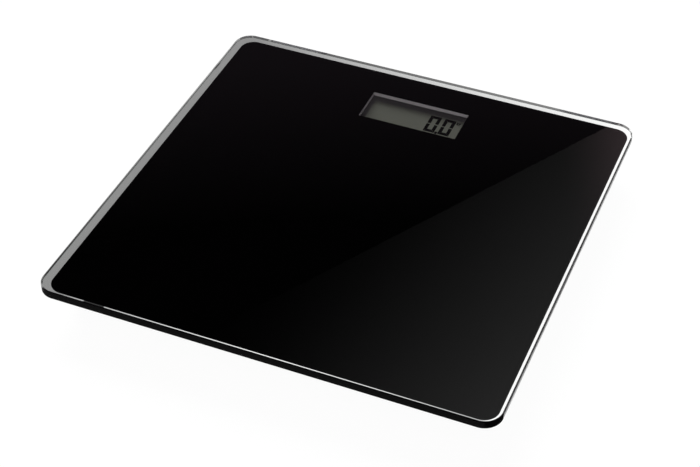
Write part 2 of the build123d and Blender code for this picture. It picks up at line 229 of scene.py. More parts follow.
def add_loft(mesh: Mesh, rings: Sequence[Ring], closed: bool = True) -> Faces:
    """Adds the skin over a stack of rings with as many points each.

    Args:
        mesh: The bmesh to add to.
        rings: The rings, in order.
        closed: True to cap both ends, False to join the last ring to the first.

    Returns:
        The new faces, with the caps last.
    """
    rows = [[mesh.verts.new(point) for point in ring] for ring in rings]
    pairs = list(zip(rows, rows[1:]))
    if not closed:
        pairs.append((rows[-1], rows[0]))
    faces = [face for lower, upper in pairs for face in add_walls(mesh, lower, upper)]
    if closed:
        faces.append(mesh.faces.new(list(reversed(rows[0]))))
        faces.append(mesh.faces.new(rows[-1]))
    return faces


def add_slab(mesh: Mesh, outline: Sequence[Point], low: float, high: float) -> None:
    """Adds a flat slab with a given outline between two heights."""
    add_loft(mesh, [[Vector((x, y, height)) for x, y in outline] for height in (low, high)])


def dress(names: Iterable[str], frame: dict, finish: Material) -> None:
    """Gives solids of the frame a finish.

    Args:
        names: The solids.
        finish: The material for all their slots.
    """
    for name in names:
        data = frame["nodes"][name].data
        for index in range(len(data.materials)):
            data.materials[index] = finish
        LOG.info("dressed %s in %s", name, finish.name)


def seat(piece: bpy.types.Object, body: str, slot: str, *nodes: str) -> None:
    """Ties a new piece to its body and hides the solids that it stands for.

    Args:
        piece: The new piece.
        body: The body that it moves with.
        slot: The record's material slot; not used.
        nodes: Solids that it replaces.
    """
    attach(piece, body)
    if nodes:
        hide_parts(*nodes)
    LOG.info("built %s on %s", piece.name, body)


# Shader nodes


class Network:
    """A shader node tree under construction."""

    def __init__(self, tree: bpy.types.NodeTree) -> None:
        """Takes the tree to build in."""
        self.tree = tree

    def put(self, value: Socket | float | Colour, target: Socket) -> None:
        """Links a socket to another, or sets a plain number, colour or vector on it.

        Args:
            value: The source socket or the plain value.
            target: The socket that takes it.
        """
        if isinstance(value, Socket):
            self.tree.links.new(value, target)
        else:
            target.default_value = (*value, 1.0) if target.type == "RGBA" else value

    def node(self, kind: str, feeds: dict | None = None, **settings: object) -> bpy.types.Node:
        """Adds a node.

        Args:
            kind: Its type, without the leading ShaderNode.
            feeds: What goes into its inputs, by their names or places.
            settings: Its own properties, set first.

        Returns:
            The new node.
        """
        made = self.tree.nodes.new(f"ShaderNode{kind}")
        for key, value in settings.items():
            setattr(made, key, value)
        for key, value in (feeds or {}).items():
            self.put(value, made.inputs[key])
        return made

    def place(self) -> Socket:
        """The object's own coordinates."""
        return self.node("TexCoord").outputs["Object"]

    def split(self, place: Socket) -> bpy.types.NodeOutputs:
        """Splits coordinates into X, Y and Z."""
        return self.node("SeparateXYZ", {0: place}).outputs

    def noise(self, place: Socket, scale: Socket | float, detail: float) -> Socket:
        """Adds a noise texture."""
        return self.node("TexNoise", {"Vector": place, "Scale": scale, "Detail": detail}).outputs["Fac"]

    def maths(self, kind: str, *values: Socket | float) -> Socket:
        """Adds a Math node on one or two values."""
        return self.node("Math", dict(enumerate(values)), operation=kind).outputs[0]

    def product(self, *values: Socket | float) -> Socket:
        """Multiplies values in turn."""
        return reduce(lambda first, second: self.maths("MULTIPLY", first, second), values)

    def ranged(
        self, value: Socket, start: float, end: float, low: Socket | float = 0.0, high: Socket | float = 1.0
    ) -> Socket:
        """Adds a straight ramp over a value, level beyond its ends."""
        feeds = {"Value": value, "From Min": start, "From Max": end, "To Min": low, "To Max": high}
        return self.node("MapRange", feeds).outputs["Result"]

    def banded(self, value: Socket, band: Band) -> Socket:
        """Adds a mask that is full inside a band."""
        return self.product(self.ranged(value, band[0], band[1]), self.ranged(value, band[3], band[2]))

    def rest(self, share: Socket, depth: float = 1.0) -> Socket:
        """What a share of a given depth leaves of one."""
        return self.maths("SUBTRACT", 1.0, self.maths("MULTIPLY", share, depth))

    def towards(self, first: Socket, second: Socket | float, share: Socket) -> Socket:
        """Moves one value towards another by a share."""
        return self.maths("ADD", first, self.product(share, self.maths("SUBTRACT", second, first)))

    def mixed(self, share: Socket, first: Socket | Colour, second: Socket | Colour) -> Socket:
        """Mixes two colours by a share."""
        feeds = {"Factor": share, "A": first, "B": second}
        return self.node("Mix", feeds, data_type="RGBA").outputs["Result"]

    def layered(self, share: Socket, first: Socket, second: Socket) -> Socket:
        """Mixes two shaders by a share."""
        return self.node("MixShader", {"Fac": share, 1: first, 2: second}).outputs[0]


class NodeGroup(Network):
    """A shader node group with named sockets, built once."""

    def __init__(self, name: str, inputs: dict[str, str], outputs: dict[str, str]) -> None:
        """Makes the empty group.

        Args:
            name: The group's name.
            inputs: Socket types by name.
            outputs: Socket types by name.
        """
        super().__init__(bpy.data.node_groups.new(name, "ShaderNodeTree"))
        for way, sockets in (("INPUT", inputs), ("OUTPUT", outputs)):
            for label, kind in sockets.items():
                self.tree.interface.new_socket(label, in_out=way, socket_type=kind)
        self.start = self.tree.nodes.new("NodeGroupInput")
        self.end = self.tree.nodes.new("NodeGroupOutput")

    def given(self, name: str) -> Socket:
        """One of the group's inputs."""
        return self.start.outputs[name]

    def tones(self, share: Socket, other: str) -> Socket:
        """Mixes the given colour with another given one."""
        return self.mixed(share, self.given("Colour"), self.given(other))

    def finished(self, **results: Socket) -> bpy.types.NodeTree:
        """Puts out the results.

        Args:
            results: Sockets for the group's outputs.

        Returns:
            The finished tree.
        """
        for name, value in results.items():
            self.put(value, self.end.inputs[name])
        return self.tree

    def textured(self, share: Socket, gloss: Socket, height: Socket) -> bpy.types.NodeTree:
        """Puts out two mixed tones, a roughness between the two given limits, and a height."""
        roughness = self.ranged(gloss, 0.0, 1.0, self.given("Smooth"), self.given("Rough"))
        return self.finished(Colour=self.tones(share, "Other Colour"), Roughness=roughness, Height=height)


COLOUR = "NodeSocketColor"
VALUE = "NodeSocketFloat"
TWO_TONE = {"Colour": COLOUR, "Other Colour": COLOUR, "Smooth": VALUE, "Rough": VALUE}
TEXTURED = {"Colour": COLOUR, "Roughness": VALUE, "Height": VALUE}


def make_grain() -> bpy.types.NodeTree:
    """Fine spark-eroded grain with a slow change of tone.

    Returns:
        A group with Colour, Roughness and Height.
    """
    group = NodeGroup("moulded_grain", {**TWO_TONE, "Grain Scale": VALUE}, TEXTURED)
    place = group.place()
    grain = group.noise(place, group.given("Grain Scale"), detail=3.0)
    slow = group.ranged(group.noise(place, scale=55.0, detail=4.0), start=0.1, end=0.9)
    share = group.product(slow, group.ranged(grain, start=0.25, end=0.75))
    return group.textured(share, slow, grain)


def make_wear_and_highlight() -> bpy.types.NodeTree:
    """Paler colour along the edges: partly rubbing wear, partly a painted highlight.

    Returns:
        A group with Colour.
    """
    inputs = {"Colour": COLOUR, "Worn Colour": COLOUR, "Width": VALUE, "Amount": VALUE}
    group = NodeGroup("edge_wear", inputs, {"Colour": COLOUR})
    rounded = group.node("Bevel", {"Radius": group.given("Width")}, samples=4).outputs["Normal"]
    face = group.node("NewGeometry").outputs["Normal"]
    along = group.node("VectorMath", {0: rounded, 1: face}, operation="DOT_PRODUCT").outputs["Value"]
    # Partly wear and partly a painted highlight: paler where the edge bends, in patches.
    bent = group.ranged(along, start=0.995, end=0.80)
    patchy = group.ranged(group.noise(group.place(), scale=420.0, detail=3.0), start=0.35, end=0.65)
    mask = group.product(bent, patchy, group.given("Amount"))
    return group.finished(Colour=group.tones(mask, "Worn Colour"))


def make_streaks() -> bpy.types.NodeTree:
    """Fine straight marks of grinding or rolling, along X.

    Returns:
        A group with Colour, Roughness and Height.
    """
    group = NodeGroup("ground_streaks", {**TWO_TONE, "Streak Scale": VALUE}, TEXTURED)
    stretch = group.node("Mapping", {"Vector": group.place(), "Scale": (0.04, 1.0, 1.0)}).outputs["Vector"]
    streak = group.noise(stretch, group.given("Streak Scale"), detail=4.0)
    tone = group.ranged(streak, start=0.3, end=0.7)
    return group.textured(tone, tone, streak)


def make_cells() -> bpy.types.NodeTree:
    """The small closed cells of foam.

    Returns:
        A group with Colour and Height.
    """
    inputs = {"Colour": COLOUR, "Pit Colour": COLOUR, "Cell Scale": VALUE}
    group = NodeGroup("foam_cells", inputs, {"Colour": COLOUR, "Height": VALUE})
    place = group.place()
    feeds = {"Vector": place, "Scale": group.given("Cell Scale")}
    cells = group.node("TexVoronoi", feeds, feature="F1").outputs["Distance"]
    middles = group.ranged(cells, start=0.30, end=0.05)
    pits = group.product(middles, group.noise(place, scale=300.0, detail=2.0))
    height = group.ranged(cells, start=0.0, end=0.6)
    return group.finished(Colour=group.tones(pits, "Pit Colour"), Height=height)


class Effect(Enum):
    """The shared surface effects, each with the function that builds its node group."""

    GRAIN = ("moulded_grain", make_grain)
    WEAR = ("edge_wear", make_wear_and_highlight)
    STREAKS = ("ground_streaks", make_streaks)
    CELLS = ("foam_cells", make_cells)

    def tree(self) -> bpy.types.NodeTree:
        """The node group of this effect, built at its first use."""
        name, build = self.value
        return bpy.data.node_groups.get(name) or build()


class Paint(Network):
    """A material under construction: a Principled shader and what feeds it."""

    def __init__(self, name: str) -> None:
        """Starts a material with its plain Principled shader.

        Args:
            name: The material's name.
        """
        self.material = bpy.data.materials.new(name)
        self.material.use_nodes = True
        super().__init__(self.material.node_tree)
        self.shader = self.tree.nodes["Principled BSDF"]

    def set(self, **values: Socket | float | Colour) -> Paint:
        """Sets or feeds the shader's own sockets.

        Args:
            values: Numbers, colours or sockets, with _ for a blank in the names.

        Returns:
            The same paint.
        """
        for key, value in values.items():
            self.put(value, self.shader.inputs[key.replace("_", " ")])
        return self

    def effect(self, effect: Effect, **values: Socket | float | Colour) -> bpy.types.NodeOutputs:
        """Places a shared effect, with _ for a blank in its inputs' names, and returns its outputs."""
        feeds = {key.replace("_", " "): value for key, value in values.items()}
        return self.node("Group", feeds, node_tree=effect.tree()).outputs

    def grain(
        self, colour: Colour, other: Colour, scale: float, smooth: float, rough: float
    ) -> bpy.types.NodeOutputs:
        """Places the moulded grain and returns its outputs."""
        tones = {"Colour": colour, "Other_Colour": other}
        return self.effect(Effect.GRAIN, **tones, Grain_Scale=scale, Smooth=smooth, Rough=rough)

    def bump(self, height: Socket, strength: float, depth: float) -> None:
        """Turns a height into the shader's normal."""
        feeds = {"Height": height, "Strength": strength, "Distance": depth}
        self.set(Normal=self.node("Bump", feeds).outputs["Normal"])

    def surfaced(self, shader: Socket) -> Material:
        """Puts a shader out as the surface and returns the material."""
        self.put(shader, self.tree.nodes["Material Output"].inputs["Surface"])
        return self.material


# Finishes


@dataclass(frozen=True)
class MouldedPlastic:
    """Injection-moulded plastic with a fine grain, and edges paler from wear and a painted highlight."""

    name: str
    colour: Colour
    paler: Colour
    grain_scale: float = 2100.0
    smooth: float = 0.42
    rough: float = 0.62
    depth: float = 0.12 * MM
    # Share of paler edges, partly wear and partly a painted highlight.
    wear_and_highlight: float = 0.5
    relief: float = 0.45
    # How much paler and how wide those edges are, partly wear and partly a painted highlight.
    worn_highlit_gain: float = 1.6
    worn_highlit_lift: float = 0.03
    worn_highlit_width: float = 0.4 * MM

    def material(self) -> Material:
        """Builds the material.

        Returns:
            The new material.
        """
        paint = Paint(self.name)
        grain = paint.grain(self.colour, self.paler, self.grain_scale, self.smooth, self.rough)
        worn_highlit = tuple(min(1.0, self.worn_highlit_gain * channel + self.worn_highlit_lift) for channel in self.paler)
        values = {"Worn_Colour": worn_highlit, "Width": self.worn_highlit_width, "Amount": self.wear_and_highlight}
        wear_and_highlight = paint.effect(Effect.WEAR, Colour=grain["Colour"], **values)
        paint.set(Base_Color=wear_and_highlight["Colour"], Roughness=grain["Roughness"])
        paint.bump(grain["Height"], self.relief, self.depth)
        return paint.material


@dataclass(frozen=True)
class GroundMetal:
    """Sheet metal with the streaks of rolling or grinding."""

    name: str
    colour: Colour
    darker: Colour
    streak_scale: float = 900.0
    smooth: float = 0.22
    rough: float = 0.42
    relief: float = 0.2
    depth: float = 0.03 * MM

    def material(self) -> Material:
        """Builds the material.

        Returns:
            The new material.
        """
        paint = Paint(self.name)
        values = {"Streak_Scale": self.streak_scale, "Smooth": self.smooth, "Rough": self.rough}
        streaks = paint.effect(Effect.STREAKS, Colour=self.darker, Other_Colour=self.colour, **values)
        paint.set(Metallic=1.0, Base_Color=streaks["Colour"], Roughness=streaks["Roughness"])
        paint.bump(streaks["Height"], self.relief, self.depth)
        return paint.material


@dataclass(frozen=True)
class Foam:
    """Closed-cell foam, with painted shade darkening its foot where it has one."""

    name: str
    colour: Colour
    pits: Colour
    cell_scale: float = 3500.0
    painted_shade_top: float = 0.0
    painted_shade: Colour = (0.020, 0.019, 0.020)
    painted_shade_blur: float = 0.15 * MM
    roughness: float = 0.85
    relief: float = 0.4
    depth: float = 0.1 * MM

    def material(self) -> Material:
        """Builds the material.

        Returns:
            The new material.
        """
        paint = Paint(self.name).set(Roughness=self.roughness)
        values = {"Pit_Colour": self.pits, "Cell_Scale": self.cell_scale}
        cells = paint.effect(Effect.CELLS, Colour=self.colour, **values)
        colour = cells["Colour"]
        # Painted shade: the colour turns dark below a given height, along the foot of the wall.
        if self.painted_shade_top:
            height = paint.split(paint.place())["Z"]
            above = paint.ranged(height, self.painted_shade_top - self.painted_shade_blur, self.painted_shade_top + self.painted_shade_blur)
            colour = paint.mixed(above, self.painted_shade, colour)
        paint.set(Base_Color=colour)
        paint.bump(cells["Height"], self.relief, self.depth)
        return paint.material


@dataclass(frozen=True)
class ClearGlass:
    """Glass that lets the lamps through to what lies behind it."""

    name: str
    tint: Colour
    roughness: float
    ior: float = 1.5
    cloud_scale: float = 30.0
    cloud_gain: float = 1.02

    def material(self) -> Material:
        """Builds the material.

        Returns:
            The new material.
        """
        paint = Paint(self.name).set(Transmission_Weight=1.0, IOR=self.ior, Roughness=self.roughness)
        paler = tuple(min(1.0, self.cloud_gain * channel) for channel in self.tint)
        paint.set(Base_Color=paint.grain(self.tint, paler, self.cloud_scale, 0.0, 0.0)["Colour"])
        clear = paint.node("BsdfTransparent", {"Color": self.tint}).outputs[0]
        shadow = paint.node("LightPath").outputs["Is Shadow Ray"]
        return paint.surfaced(paint.layered(shadow, paint.shader.outputs[0], clear))


@dataclass(frozen=True)
class BlackInk:
    """Opaque black laid on glass, with no gloss of its own behind it."""

    name: str
    colour: Colour
    paler: Colour
    grain_scale: float = 900.0
    roughness: float = 0.7

    def material(self) -> Material:
        """Builds the material.

        Returns:
            The new material.
        """
        paint = Paint(self.name).set(Roughness=self.roughness, Specular_IOR_Level=0.0)
        grain = paint.grain(self.colour, self.paler, self.grain_scale, self.roughness, self.roughness)
        return paint.set(Base_Color=grain["Colour"]).material


@dataclass(frozen=True)
class DisplayFace:
    """The grey reflector of a liquid-crystal display, under its polariser."""

    name: str
    colour: Colour
    paler: Colour
    grain_scale: float = 5200.0
    smooth: float = 0.34
    rough: float = 0.42
    specular: float = 0.3
    relief: float = 0.08
    depth: float = 0.02 * MM

    def material(self) -> Material:
        """Builds the material.

        Returns:
            The new material.
        """
        paint = Paint(self.name).set(Specular_IOR_Level=self.specular)
        grain = paint.grain(self.colour, self.paler, self.grain_scale, self.smooth, self.rough)
        paint.set(Base_Color=grain["Colour"], Roughness=grain["Roughness"])
        paint.bump(grain["Height"], self.relief, self.depth)
        return paint.material


@dataclass(frozen=True)
class SolderMask:
    """Green board lacquer with copper tracks that show through as paler lines."""

    name: str
    colour: Colour
    track: Colour
    track_scale: float = 210.0
    track_width: float = 0.03
    darker_share: float = 0.8
    grain_scale: float = 1500.0
    smooth: float = 0.30
    rough: float = 0.42
    coat: float = 0.4
    coat_roughness: float = 0.15
    relief: float = 0.3
    depth: float = 0.04 * MM

    def material(self) -> Material:
        """Builds the material.

        Returns:
            The new material.
        """
        paint = Paint(self.name).set(Coat_Weight=self.coat, Coat_Roughness=self.coat_roughness)
        grain = paint.grain(self.colour, self.colour, self.grain_scale, self.smooth, self.rough)
        feeds = {
            "Vector": paint.place(),
            "Scale": self.track_scale,
            "Mortar Size": self.track_width,
            "Color1": self.colour,
            "Color2": tuple(self.darker_share * channel for channel in self.colour),
            "Mortar": self.track,
        }
        tracks = paint.node("TexBrick", feeds).outputs
        paint.set(Base_Color=tracks["Color"], Roughness=grain["Roughness"])
        paint.bump(tracks["Fac"], self.relief, self.depth)
        return paint.material


BLACK_PLASTIC = MouldedPlastic("black_moulded_plastic", (0.030, 0.030, 0.032), (0.052, 0.052, 0.055))
DOOR_PLASTIC = MouldedPlastic(
    "black_door_plastic", (0.038, 0.038, 0.040), (0.062, 0.062, 0.065), smooth=0.34, rough=0.48
)
FOOT_PLASTIC = MouldedPlastic(
    "black_foot_plastic", (0.040, 0.040, 0.043), (0.066, 0.066, 0.070), smooth=0.36, rough=0.50
)
GREY_PLASTIC = MouldedPlastic(
    "grey_button_plastic", (0.20, 0.20, 0.21), (0.27, 0.27, 0.28), smooth=0.38, rough=0.5
)
WHITE_PLASTIC = MouldedPlastic("white_frame_plastic", (0.72, 0.72, 0.70), (0.80, 0.80, 0.78), wear_and_highlight=0.0)
IVORY_PLASTIC = MouldedPlastic("ivory_plunger_plastic", (0.60, 0.57, 0.50), (0.70, 0.67, 0.60), wear_and_highlight=0.0)
FOOT_RUBBER = MouldedPlastic(
    "grey_foot_rubber", (0.085, 0.085, 0.088), (0.140, 0.140, 0.145), 1900.0, 0.72, 0.9, 0.08 * MM, 0.3
)
CONTACT_RUBBER = MouldedPlastic(
    "contact_strip_rubber", (0.09, 0.085, 0.09), (0.22, 0.20, 0.21), 2200.0, 0.6, 0.8, wear_and_highlight=0.0
)
SLEEVE = MouldedPlastic(
    "grey_lead_sleeve", (0.26, 0.26, 0.27), (0.36, 0.36, 0.37), 1500.0, 0.45, 0.6, wear_and_highlight=0.2
)
EPOXY = MouldedPlastic(
    "black_epoxy_drop", (0.010, 0.010, 0.010), (0.020, 0.020, 0.020), 700.0, 0.12, 0.25, 0.02 * MM, 0.0
)
CHIP_CERAMIC = MouldedPlastic(
    "tan_chip_ceramic", (0.42, 0.33, 0.22), (0.55, 0.45, 0.32), 3000.0, 0.3, 0.45, wear_and_highlight=0.4
)
SILICONE = MouldedPlastic(
    "white_silicone", (0.74, 0.74, 0.72), (0.86, 0.86, 0.84), 600.0, 0.25, 0.4, 0.05 * MM, 0.0
)
SENSOR_STEEL = GroundMetal("stamped_sensor_steel", (0.60, 0.61, 0.62), (0.40, 0.41, 0.42))
SCREW_STEEL = GroundMetal("zinc_screw_steel", (0.66, 0.66, 0.64), (0.46, 0.46, 0.45), 2400.0, 0.25, 0.4)
CELL_STEEL = GroundMetal("nickel_cell_steel", (0.80, 0.79, 0.76), (0.66, 0.65, 0.62), 1400.0, 0.16, 0.28)
CONTACT_METAL = GroundMetal("spring_contact_metal", (0.82, 0.76, 0.60), (0.64, 0.57, 0.42), 1600.0, 0.2, 0.35)
# The gasket wall is darker along its foot, below 13 mm: painted shade.
GASKET_FOAM = Foam("grey_gasket_foam", (0.34, 0.315, 0.33), (0.25, 0.23, 0.24), painted_shade_top=13.0 * MM)
TAPE_FOAM = Foam("white_tape_foam", (0.78, 0.78, 0.76), (0.60, 0.60, 0.58), 2400.0)
FACE_GLASS = ClearGlass("clear_face_glass", (0.965, 0.970, 0.966), 0.0)
EDGE_GLASS = ClearGlass("polished_edge_glass", (0.915, 0.955, 0.935), 0.02)
FILM_FRONT = BlackInk("black_film_front", (0.0003, 0.0003, 0.0003), (0.0006, 0.0005, 0.0006))
FILM_BACK = MouldedPlastic(
    "black_film_back", (0.009, 0.009, 0.010), (0.014, 0.014, 0.015), 800.0, 0.32, 0.38, 0.03 * MM, 0.0
)
LCD_FACE = DisplayFace("lcd_reflector", (0.064, 0.066, 0.056), (0.077, 0.079, 0.067))
# Darker than the reflector; where it shows round the sheet it is partly the glass's own tone and partly
# painted shade.
LCD_GLASS = DisplayFace("lcd_border_glass", (0.038, 0.035, 0.037), (0.046, 0.043, 0.045))
LCD_INK = BlackInk("lcd_segment_ink", (0.0008, 0.0008, 0.0008), (0.0016, 0.0016, 0.0016))
BOARD_GREEN = SolderMask("green_solder_mask", (0.030, 0.190, 0.085), (0.075, 0.300, 0.130))


# Sub-assemblies


@dataclass
class Platform:
    """The glass plate and the black film under it."""

    corner_radius: float = 12.0 * MM
    arris: float = 0.55 * MM
    film_corner_radius: float = 10.0 * MM
    film_bite: float = 0.03 * MM
    window: Point = (71.0 * MM, 29.4 * MM)
    window_corner_radius: float = 0.5 * MM
    window_steps: int = 6
    flat_weight: int = 100

    def window_centre(self) -> Point:
        """Middle of the display window, over the display itself."""
        return plan("lcd_panel")[1]

    def glass(self) -> None:
        """The plate, with a small polished arris round both faces."""
        low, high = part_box("platform_glass")
        size = (high.x - low.x, high.y - low.y)
        small = (size[0] - 2 * self.arris, size[1] - 2 * self.arris)
        inner = self.corner_radius - self.arris
        rings = [
            rounded_outline(small, inner, low.z),
            rounded_outline(size, self.corner_radius, low.z + self.arris),
            rounded_outline(size, self.corner_radius, high.z - self.arris),
            rounded_outline(small, inner, high.z),
        ]
        mesh = bmesh.new()
        for face in add_loft(mesh, rings)[:-2]:
            face.material_index = 1
        plate = piece_from("glass_plate", mesh, [FACE_GLASS.material(), EDGE_GLASS.material()])
        even = plate.modifiers.new("even_faces", "WEIGHTED_NORMAL")
        even.weight = self.flat_weight
        even.keep_sharp = True
        seat(plate, PLATFORM, "clear_glass", "platform_glass")

    def film(self) -> None:
        """The film, in full contact with the glass, with its window."""
        low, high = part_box("backing_film")
        size, centre = plan("backing_film")
        mesh = bmesh.new()
        loops = []
        for height in (low.z, high.z + self.film_bite):
            rings = (
                rounded_outline(size, self.film_corner_radius, height, centre),
                rounded_outline(
                    self.window, self.window_corner_radius, height, self.window_centre(), self.window_steps
                ),
            )
            loops.append([[mesh.verts.new(point) for point in ring] for ring in rings])
        for lower, upper in zip(*loops):
            add_walls(mesh, lower, upper)
        for layer in loops:
            edges = [mesh.edges.get((ring[i - 1], ring[i])) for ring in layer for i in range(len(ring))]
            bmesh.ops.triangle_fill(mesh, use_beauty=True, use_dissolve=False, edges=edges)
        for face in mesh.faces:
            face.material_index = 0 if face.calc_center_median().z > high.z else 1
        film = piece_from("black_film", mesh, [FILM_FRONT.material(), FILM_BACK.material()])
        seat(film, PLATFORM, "black_film", "backing_film")

    def build(self) -> None:
        """Builds both pieces."""
        self.glass()
        self.film()


@dataclass
class Digits:
    """The figures of the display, two noughts with a point between them and a unit."""

    count: int = 2
    width: float = 8.1 * MM
    height: float = 18.3 * MM
    stroke: float = 2.45 * MM
    flat_stroke: float = 2.9 * MM
    gap: float = 0.06 * MM
    middle_gap: float = 0.45 * MM
    pitch: float = 10.65 * MM
    right_inset: float = 6.7 * MM
    lower: float = 0.1 * MM
    dot: Point = (1.9 * MM, 2.6 * MM)
    dot_place: Point = (0.05 * MM, -0.65 * MM)
    unit_text: str = "kg"
    unit_height: float = 3.6 * MM
    unit_font: float = 1.4
    unit_weight: float = 0.16 * MM
    unit_squeeze: float = 0.62
    unit_place: Point = (0.7 * MM, -0.1 * MM)

    def bar(self, segment: Segment) -> list[Point]:
        """Outline of one bar, from the digit's lower left corner.

        Args:
            segment: The bar.

        Returns:
            Its corners, mitred where two bars meet.
        """
        w, h, s, f, g = self.width, self.height, self.stroke, self.flat_stroke, self.gap
        end = h / 2 + self.middle_gap
        flat = [(g, h), (w - g, h), (w - s - g, h - f), (s + g, h - f)]
        upper = [(0.0, h - g), (s, h - f - g), (s, end), (0.0, end)]
        mirror_x = {Segment.UPPER_RIGHT, Segment.LOWER_RIGHT}
        mirror_y = {Segment.BOTTOM, Segment.LOWER_LEFT, Segment.LOWER_RIGHT}
        points = flat if segment in (Segment.TOP, Segment.BOTTOM) else upper
        points = [(w - x, y) if segment in mirror_x else (x, y) for x, y in points]
        return [(x, h - y) if segment in mirror_y else (x, y) for x, y in points]


@dataclass
class Display:
    """The recessed display: gasket, reflector and figures."""

    frame: dict
    platform: Platform
    digits: Digits
    sheet: float = 0.04 * MM
    ink: float = 0.02 * MM
    # Bare display glass round the sheet: wide at the left and back, where its darker glass is also painted
    # shade beside the gasket walls.
    border_and_shade_left: float = 3.0 * MM
    border_right: float = 0.6 * MM
    border_front: float = 0.6 * MM
    border_and_shade_back: float = 4.4 * MM

    def polariser(self) -> None:
        """The thin grey sheet that the figures show on."""
        centre = self.platform.window_centre()
        half_x, half_y = self.platform.window[0] / 2, self.platform.window[1] / 2
        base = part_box("lcd_panel")[1].z
        left = centre[0] - half_x + self.border_and_shade_left
        right = centre[0] + half_x - self.border_right
        front = centre[1] - half_y + self.border_front
        back = centre[1] + half_y - self.border_and_shade_back
        mesh = bmesh.new()
        add_slab(mesh, [(left, front), (right, front), (right, back), (left, back)], base, base + self.sheet)
        seat(piece_from("display_polariser", mesh, [LCD_FACE.material()]), PLATFORM, "lcd_face")

    def figures(self) -> None:
        """The dark bars, the decimal point and the unit."""
        digits = self.digits
        centre = self.platform.window_centre()
        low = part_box("lcd_panel")[1].z + self.sheet
        right = centre[0] + self.platform.window[0] / 2 - digits.right_inset
        bottom = centre[1] - digits.height / 2 - digits.lower
        mesh = bmesh.new()
        for index in range(digits.count):
            left = right - digits.width - index * digits.pitch
            for segment in Segment:
                outline = [(left + x, bottom + y) for x, y in digits.bar(segment)]
                add_slab(mesh, outline, low, low + self.ink)
        dot_left = right - (digits.pitch + digits.width + digits.dot[0]) / 2 + digits.dot_place[0]
        dot_low = bottom + digits.dot_place[1]
        corners = [(x * digits.dot[0], y * digits.dot[1]) for x, y in ((0, 0), (1, 0), (1, 1), (0, 1))]
        add_slab(mesh, [(dot_left + x, dot_low + y) for x, y in corners], low, low + self.ink)
        ink = LCD_INK.material()
        seat(piece_from("display_figures", mesh, [ink]), PLATFORM, "lcd_face")
        self.unit(right, bottom + digits.height, low, ink)

    def unit(self, left: float, top: float, low: float, ink: Material) -> None:
        """The small unit beside the last digit.

        Args:
            left: Right edge of the last digit.
            top: Top of the digits.
            low: Height of the display's face.
            ink: The material of the bars.
        """
        digits = self.digits
        curve = bpy.data.curves.new("display_unit", "FONT")
        curve.body = digits.unit_text
        curve.size = digits.unit_height * digits.unit_font
        curve.extrude = self.ink / 2
        curve.offset = digits.unit_weight
        drawn = linked("display_unit_curve", curve)
        bpy.context.view_layer.update()
        data = bpy.data.meshes.new_from_object(drawn.evaluated_get(bpy.context.evaluated_depsgraph_get()))
        bpy.data.objects.remove(drawn)
        data.name = "display_unit"
        across, up = digits.unit_place
        place = Vector((left + across, top + up - digits.unit_height, low + self.ink / 2))
        data.transform(Matrix.Translation(place) @ Matrix.Diagonal((digits.unit_squeeze, 1.0, 1.0, 1.0)))
        data.materials.clear()
        data.materials.append(ink)
        seat(linked("display_unit", data), PLATFORM, "lcd_face")

    def build(self) -> None:
        """Dresses the solids and adds the figures."""
        dress(["display_gasket"], self.frame, GASKET_FOAM.material())
        dress(["lcd_panel"], self.frame, LCD_GLASS.material())
        dress(["lcd_frame"], self.frame, WHITE_PLASTIC.material())
        dress(["zebra_strips"], self.frame, CONTACT_RUBBER.material())
        self.polariser()
        self.figures()


